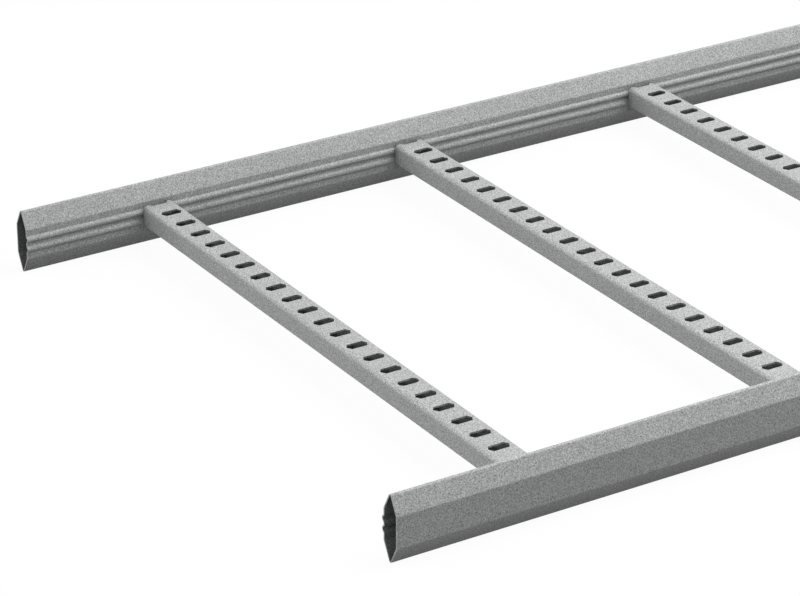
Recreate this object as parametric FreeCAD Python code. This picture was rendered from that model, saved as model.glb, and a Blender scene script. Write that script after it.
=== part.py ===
import FreeCAD, Part
import math
import os

# Straight cable ladder section: two rolled side rails with slotted channel rungs welded between them.
# Frame in millimetres: X along the rails, Y across from the right rail to the left one, Z up.
# The origin is at the middle of the section, on the floor that the rails lie on.

X = FreeCAD.Vector(1, 0, 0)
Y = FreeCAD.Vector(0, 1, 0)
Z = FreeCAD.Vector(0, 0, 1)

# Whole section
section_length = 3000.0
overall_width = 600.0

# Side rail: a flattened hexagonal tube that stands on its lower apex
rail_height = 55.0
rail_width = 18.0
rail_flat = 26.0
rail_sheet = 1.2
rail_apex_radius = 2.0
rail_fold_radius = 2.5

# Two beads rolled into each rail's inner flat
bead_spacing = 8.5
bead_height = 2.0
bead_flank_angle = 50.0
bead_crest_radius = 3.0
bead_root_radius = 1.2

# Rung: a channel with its slotted web on top and two lips folded in tight below
rung_pitch = 250.0
first_rung = 122.5
least_end_bay = 100.0
rung_width = 28.0
rung_height = 18.3
rung_sheet = 1.5
rung_web_radius = 3.5
rung_lip = 7.0
rung_rise = 10.5
weld_clearance = 0.1

# Row of slots along each rung, with their long sides along the rails. The strip is punched before it is cut
# to length, so its end at the left rail cuts through a slot, whose middle lies this far beyond the end.
slot_length = 18.0
slot_width = 8.7
slot_pitch = 25.0
cut_slot_overhang = 1.0
least_slot_land = 1.0

# The slots that clamps bolt to have true round ends: they stand this many pitches either side of the row's
# middle slot. To keep the model light, each end of the many others is two flats around the same area, at
# this angle to the slot's width.
clamp_slot_steps = 5
plain_end_angle = 30.0

# Lengths below this count as nothing
tolerance = 1e-6

# Places worked out from the sizes above
rail_axis = (overall_width - rail_width) / 2
rail_middle = rail_height / 2
rung_top = rail_middle + rung_rise
rung_end = overall_width / 2 - rail_width - bead_height - weld_clearance


def outline(corners, across, up):
    """Face inside (across, up, radius) corners, each rounded by an arc of its radius."""
    points = [across * a + up * b for a, b, radius in corners]
    arcs = []
    for i, (a, b, radius) in enumerate(corners):
        corner = points[i]
        back = (points[i - 1] - corner).normalize()
        ahead = (points[(i + 1) % len(points)] - corner).normalize()
        half_angle = back.getAngle(ahead) / 2
        tangent = radius / math.tan(half_angle)
        depth = radius / math.sin(half_angle) - radius
        inward = (back + ahead).normalize()
        arcs.append((corner + back * tangent, corner + inward * depth, corner + ahead * tangent))
    edges = []
    for i, (start, middle, end) in enumerate(arcs):
        following = arcs[(i + 1) % len(arcs)][0]
        if start.distanceToPoint(end) > tolerance:
            edges.append(Part.Arc(start, middle, end).toShape())
        if end.distanceToPoint(following) > tolerance:
            edges.append(Part.LineSegment(end, following).toShape())
    return Part.Face(Part.Wire(edges))


def rail_corners():
    """Outer corners of the left rail's section about its middle, beads on the inner flat at -Y."""
    half_width = rail_width / 2
    half_flat = rail_flat / 2
    rise = rail_height / 2 - rail_apex_radius - half_flat
    slant = math.atan2(rise, half_width)
    slant += math.asin(rail_apex_radius / math.hypot(rise, half_width))
    apex = half_flat + half_width * math.tan(slant)
    flank = math.radians(bead_flank_angle)
    crest = bead_height + bead_crest_radius * (1 / math.cos(flank) - 1)
    half_base = crest / math.tan(flank)
    corners = [
        (-half_width, half_flat, rail_fold_radius),
        (0, apex, rail_apex_radius),
        (half_width, half_flat, rail_fold_radius),
        (half_width, -half_flat, rail_fold_radius),
        (0, -apex, rail_apex_radius),
        (-half_width, -half_flat, rail_fold_radius),
    ]
    for middle in (-bead_spacing / 2, bead_spacing / 2):
        corners.append((-half_width, middle - half_base, bead_root_radius))
        corners.append((-half_width - crest, middle, bead_crest_radius))
        corners.append((-half_width, middle + half_base, bead_root_radius))
    return corners


def left_rail():
    """Roll-formed rail, hollow from end to end."""
    skin = outline(rail_corners(), Y, Z)
    hollow = Part.Face(skin.OuterWire.makeOffset2D(-rail_sheet))
    section = skin.cut(hollow).Faces[0]
    section.translate(FreeCAD.Vector(-section_length / 2, rail_axis, rail_middle))
    return section.extrude(X * section_length)


def rung_channel():
    """Rung without its slots, cut square at both ends, its web's top face at the rung's own zero."""
    half = rung_width / 2
    inner = half - rung_sheet
    lip_edge = half - rung_lip
    one_side = [
        (inner, -rung_sheet, rung_web_radius - rung_sheet),
        (inner, rung_sheet - rung_height, 0),
        (lip_edge, rung_sheet - rung_height, 0),
        (lip_edge, -rung_height, 0),
        (half, -rung_height, rung_sheet),
        (half, 0, rung_web_radius),
    ]
    other_side = [(-a, b, radius) for a, b, radius in reversed(one_side)]
    section = outline(one_side + other_side, X, Z)
    section.translate(Y * -rung_end)
    return section.extrude(Y * 2 * rung_end)


def slot_places():
    """Places of the slots' middles along the rung, from the left rail's end of it."""
    count = int((2 * rung_end + cut_slot_overhang) / slot_pitch) + 2
    row = [rung_end + cut_slot_overhang - i * slot_pitch for i in range(count)]
    half = slot_width / 2
    return [place for place in row if abs(place) - half < rung_end and leaves_land(place, half)]


def leaves_land(place, half):
    """True where a slot's edges both keep off the rung's ends, so that no sliver of web is left."""
    edges = (abs(place) - half, abs(place) + half)
    return all(abs(edge - rung_end) > least_slot_land for edge in edges)


def slot_punch(rounded):
    """Punch for one slot about the web's zero, with round ends, or with two flats at each end."""
    radius = slot_width / 2
    end_middle = slot_length / 2 - radius
    if rounded:
        one_end = [(end_middle + radius, -radius, radius), (end_middle + radius, radius, radius)]
    else:
        mean = end_middle + math.pi / 4 * radius
        point = math.tan(math.radians(plain_end_angle)) * radius / 2
        one_end = [(mean - point, -radius, 0), (mean + point, 0, 0), (mean - point, radius, 0)]
    other_end = [(-a, -b, rounding) for a, b, rounding in one_end]
    punch = outline(one_end + other_end, X, Y).extrude(Z * -2 * rung_sheet)
    return punch.translated(Z * rung_sheet / 2)


def slotted_rung(clamped):
    """Rung with its row of slots punched through the web, exact clamp slots among them if clamped."""
    places = slot_places()
    middle = len(places) // 2
    exact = (middle - clamp_slot_steps, middle + clamp_slot_steps) if clamped else ()
    round_punch = slot_punch(True)
    plain_punch = slot_punch(False)
    punches = [(round_punch if i in exact else plain_punch).translated(Y * p) for i, p in enumerate(places)]
    return rung_channel().cut(punches)


def rung_stations():
    """Places of the rungs' middles along the section."""
    room = section_length - first_rung - least_end_bay
    count = int(room / rung_pitch + tolerance) + 1
    return [first_rung - section_length / 2 + i * rung_pitch for i in range(count)]


def main():
    os.makedirs("parts", exist_ok=True)
    rail = left_rail()
    rail.exportStep("parts/side_rail_left.step")
    rail.mirror(FreeCAD.Vector(0, 0, 0), Y).exportStep("parts/side_rail_right.step")
    stations = rung_stations()
    first_of_pairs = (0, len(stations) // 2 - 1, len(stations) - 2)
    clamped_rungs = [i + j for i in first_of_pairs for j in (0, 1)]
    clamped = slotted_rung(True)
    plain = slotted_rung(False)
    for i, station in enumerate(stations):
        rung = clamped if i in clamped_rungs else plain
        rung.translated(FreeCAD.Vector(station, 0, rung_top)).exportStep(f"parts/rung_{i + 1:02d}.step")


main()
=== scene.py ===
import math

import bpy
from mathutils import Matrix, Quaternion, Vector

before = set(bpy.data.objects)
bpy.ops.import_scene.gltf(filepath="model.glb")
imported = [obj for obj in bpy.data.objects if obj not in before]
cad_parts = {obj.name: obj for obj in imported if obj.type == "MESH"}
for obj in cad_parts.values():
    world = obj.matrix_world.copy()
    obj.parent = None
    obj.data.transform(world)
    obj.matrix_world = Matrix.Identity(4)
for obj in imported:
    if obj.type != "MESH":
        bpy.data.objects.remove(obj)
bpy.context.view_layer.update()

# Camera of the photograph, in metres and degrees: azimuth turns from +Y towards +X
photo_width = 800
focal_pixels = 3551.04
sensor_width = 36
camera_place = Vector((-2.65283, -2.16276, 1.24418))
camera_azimuth = 31.8218
camera_drop = 25.2464
camera_roll = -0.1686

# Zinc: its grey and the slight tint of red, green and blue in it
zinc_grey = 0.52
zinc_tint = (0.985, 1.005, 0.995)
zinc_metal = 0.1
zinc_roughness = (0.52, 0.64)

# Fine grain and faint clouds in the zinc: features per metre, layers of noise and shares of the grey. The
# turn keeps flat faces off the noise's own grid, and most of the noise lies between the two levels.
grain_scale = 950
grain_layers = 1.0
grain_share = 0.55
grain_depth = 0.000002
grain_turn = (0.5, 0.7, 0.4)
cloud_scale = 45
cloud_layers = 3.0
cloud_share = 0.03
noise_levels = (0.25, 0.75)

# Painted shade inside the hollows, as a share of the outer grey. A face counts as outer where its normal
# times its place in the piece's box, from the box's middle, passes the piece's limit.
box_middle = (0.5, 0.5, 0.5)
rail_painted_hollow_shade = 0.55
rail_outer_limit = -0.1
rung_painted_hollow_shade = 0.5
rung_outer_limit = 0.2

# Painted shade in the nooks where pieces meet, darker close to another surface: how far a nook reaches, its
# share of the open grey and the rays that feel for it
nook_reach = 0.014
nook_shade_share = 0.42
nook_rays = 4

# Floor: its half width, how far it lies under the rails, what it throws back at the object, and what is
# seen of it
floor_reach = 60
floor_gap = 0.0005
floor_bounce_grey = 0.02
paper_grey = 0.06
paper_glow = 0.95

# Light: an even sky, a large soft lamp overhead and a wide sun from behind on the left
sky_light = 0.33
key_place = (0.5, -0.8, 2.1)
key_size = (3.0, 2.0)
key_power = 56
sun_heading = (1, -0.65, -0.75)
sun_angle = 75
sun_strength = 1.1


def new_material(name):
    """Empty node material with its output and a Principled shader joined."""
    material = bpy.data.materials.new(name)
    material.use_nodes = True
    nodes = material.node_tree.nodes
    nodes.clear()
    output = nodes.new("ShaderNodeOutputMaterial")
    shader = nodes.new("ShaderNodeBsdfPrincipled")
    material.node_tree.links.new(shader.outputs["BSDF"], output.inputs["Surface"])
    return material, shader


def noise(tree, vector, scale, layers):
    """Noise of 0 to 1 with the given features per metre."""
    node = tree.nodes.new("ShaderNodeTexNoise")
    node.inputs["Scale"].default_value = scale
    node.inputs["Detail"].default_value = layers
    tree.links.new(vector, node.inputs["Vector"])
    return node.outputs["Fac"]


def ramp(tree, value, levels, ends):
    """The value as a number that goes from the first end to the last between the two levels."""
    node = tree.nodes.new("ShaderNodeMapRange")
    node.inputs["From Min"].default_value, node.inputs["From Max"].default_value = levels
    node.inputs["To Min"].default_value, node.inputs["To Max"].default_value = ends
    tree.links.new(value, node.inputs["Value"])
    return node.outputs["Result"]


def multiply(tree, first, second):
    """Product of two values."""
    node = tree.nodes.new("ShaderNodeMath")
    node.operation = "MULTIPLY"
    tree.links.new(first, node.inputs[0])
    tree.links.new(second, node.inputs[1])
    return node.outputs["Value"]


def facing_out(tree, limit):
    """1 on a piece's outer faces and 0 on faces turned towards its own middle line."""
    middle = tree.nodes.new("ShaderNodeVectorMath")
    middle.operation = "SUBTRACT"
    middle.inputs[1].default_value = box_middle
    tree.links.new(tree.nodes.new("ShaderNodeTexCoord").outputs["Generated"], middle.inputs[0])
    outward = tree.nodes.new("ShaderNodeVectorMath")
    outward.operation = "DOT_PRODUCT"
    tree.links.new(middle.outputs["Vector"], outward.inputs[0])
    tree.links.new(tree.nodes.new("ShaderNodeNewGeometry").outputs["True Normal"], outward.inputs[1])
    out = tree.nodes.new("ShaderNodeMath")
    out.operation = "GREATER_THAN"
    out.inputs[1].default_value = limit
    tree.links.new(outward.outputs["Value"], out.inputs[0])
    return out.outputs["Value"]


def painted_nook_shade(tree):
    """Painted shade: share of the open grey, less where the surface is close to another."""
    nook = tree.nodes.new("ShaderNodeAmbientOcclusion")
    nook.samples = nook_rays
    nook.inputs["Distance"].default_value = nook_reach
    return ramp(tree, nook.outputs["AO"], (0, 1), (nook_shade_share, 1))


def galvanised(name, painted_hollow_shade, limit):
    """Dull zinc on steel: neutral grey with fine grain and faint clouds, with painted shade inside the
    hollows and in nooks.
    """
    material, shader = new_material(name)
    tree = material.node_tree
    place = tree.nodes.new("ShaderNodeMapping")
    place.inputs["Rotation"].default_value = grain_turn
    tree.links.new(tree.nodes.new("ShaderNodeTexCoord").outputs["Object"], place.inputs["Vector"])
    grain = noise(tree, place.outputs["Vector"], grain_scale, grain_layers)
    cloud = noise(tree, place.outputs["Vector"], cloud_scale, cloud_layers)
    tone = ramp(tree, grain, noise_levels, (1 - grain_share, 1 + grain_share))
    tone = multiply(tree, tone, ramp(tree, cloud, noise_levels, (1 - cloud_share, 1 + cloud_share)))
    # Painted shade: faces turned towards the piece's middle are darkened as if lying in the hollow's shade
    tone = multiply(tree, tone, ramp(tree, facing_out(tree, limit), (0, 1), (painted_hollow_shade, 1)))
    # Painted shade: darker where the surface is close to another surface, as in the shade of a nook
    tone = multiply(tree, tone, painted_nook_shade(tree))
    colour = tree.nodes.new("ShaderNodeVectorMath")
    colour.operation = "SCALE"
    colour.inputs[0].default_value = [zinc_grey * share for share in zinc_tint]
    tree.links.new(tone, colour.inputs["Scale"])
    tree.links.new(colour.outputs["Vector"], shader.inputs["Base Color"])
    tree.links.new(ramp(tree, grain, noise_levels, zinc_roughness), shader.inputs["Roughness"])
    shader.inputs["Metallic"].default_value = zinc_metal
    bump = tree.nodes.new("ShaderNodeBump")
    bump.inputs["Distance"].default_value = grain_depth
    tree.links.new(grain, bump.inputs["Height"])
    tree.links.new(bump.outputs["Normal"], shader.inputs["Normal"])
    return material


def dress_frame():
    """Gives each rail and rung its zinc finish."""
    rail_zinc = galvanised("rail_zinc", rail_painted_hollow_shade, rail_outer_limit)
    rung_zinc = galvanised("rung_zinc", rung_painted_hollow_shade, rung_outer_limit)
    for name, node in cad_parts.items():
        zinc = rail_zinc if "rail" in name else rung_zinc
        for slot in node.material_slots:
            slot.material = zinc


def seen_directly(tree):
    """1 where the camera sees a surface itself, in a mirror or through glass, else 0."""
    path = tree.nodes.new("ShaderNodeLightPath")
    value = path.outputs["Is Camera Ray"]
    for other in ("Is Glossy Ray", "Is Transmission Ray"):
        node = tree.nodes.new("ShaderNodeMath")
        node.operation = "MAXIMUM"
        tree.links.new(value, node.inputs[0])
        tree.links.new(path.outputs[other], node.inputs[1])
        value = node.outputs["Value"]
    return value


def make_floor():
    """Plain white floor under the rails that keeps a faint shadow."""
    bpy.ops.mesh.primitive_plane_add(size=2 * floor_reach, location=(0, 0, -floor_gap))
    floor = bpy.context.object
    floor.name = "studio_floor"
    material = bpy.data.materials.new("studio_floor")
    material.use_nodes = True
    tree = material.node_tree
    tree.nodes.clear()
    output = tree.nodes.new("ShaderNodeOutputMaterial")
    bounce = tree.nodes.new("ShaderNodeBsdfDiffuse")
    bounce.inputs["Color"].default_value = [floor_bounce_grey] * 3 + [1]
    paper = tree.nodes.new("ShaderNodeBsdfDiffuse")
    paper.inputs["Color"].default_value = [paper_grey] * 3 + [1]
    glow = tree.nodes.new("ShaderNodeEmission")
    glow.inputs["Strength"].default_value = paper_glow
    both = tree.nodes.new("ShaderNodeAddShader")
    tree.links.new(paper.outputs["BSDF"], both.inputs[0])
    tree.links.new(glow.outputs["Emission"], both.inputs[1])
    mix = tree.nodes.new("ShaderNodeMixShader")
    tree.links.new(seen_directly(tree), mix.inputs["Fac"])
    tree.links.new(bounce.outputs["BSDF"], mix.inputs[1])
    tree.links.new(both.outputs["Shader"], mix.inputs[2])
    tree.links.new(mix.outputs["Shader"], output.inputs["Surface"])
    floor.data.materials.append(material)


def make_world():
    """White to the eye, and a dimmer even light on the object."""
    world = bpy.data.worlds.new("studio")
    bpy.context.scene.world = world
    world.use_nodes = True
    tree = world.node_tree
    tree.nodes.clear()
    output = tree.nodes.new("ShaderNodeOutputWorld")
    background = tree.nodes.new("ShaderNodeBackground")
    background.inputs["Color"].default_value = [1, 1, 1, 1]
    strength = ramp(tree, seen_directly(tree), (0, 1), (sky_light, 1))
    tree.links.new(strength, background.inputs["Strength"])
    tree.links.new(background.outputs["Background"], output.inputs["Surface"])


def make_lamp(name, kind, strength):
    """Lamp of the given kind, shining straight down from the origin."""
    data = bpy.data.lights.new(name, kind)
    data.energy = strength
    holder = bpy.data.objects.new(name, data)
    bpy.context.collection.objects.link(holder)
    return holder


def make_lamps():
    """A large soft lamp facing down over the ladder, and a wide sun that lights the rungs' left sides."""
    key = make_lamp("key_lamp", "AREA", key_power)
    key.data.shape = "RECTANGLE"
    key.data.size, key.data.size_y = key_size
    key.location = key_place
    sun = make_lamp("sun_lamp", "SUN", sun_strength)
    sun.data.angle = math.radians(sun_angle)
    sun.rotation_euler = Vector(sun_heading).to_track_quat("-Z", "Y").to_euler()


def make_camera():
    """Camera at the photograph's viewing angle."""
    data = bpy.data.cameras.new("camera")
    data.sensor_width = sensor_width
    data.lens = sensor_width * focal_pixels / photo_width
    camera = bpy.data.objects.new("camera", data)
    bpy.context.collection.objects.link(camera)
    turn = math.radians(camera_azimuth)
    drop = math.radians(camera_drop)
    ahead = Vector((math.sin(turn) * math.cos(drop), math.cos(turn) * math.cos(drop), -math.sin(drop)))
    roll = Quaternion((0, 0, 1), math.radians(camera_roll))
    camera.location = camera_place
    camera.rotation_mode = "QUATERNION"
    camera.rotation_quaternion = ahead.to_track_quat("-Z", "Y") @ roll
    bpy.context.scene.camera = camera


bpy.context.scene.view_settings.view_transform = "Standard"
make_camera()
dress_frame()
make_floor()
make_world()
make_lamps()
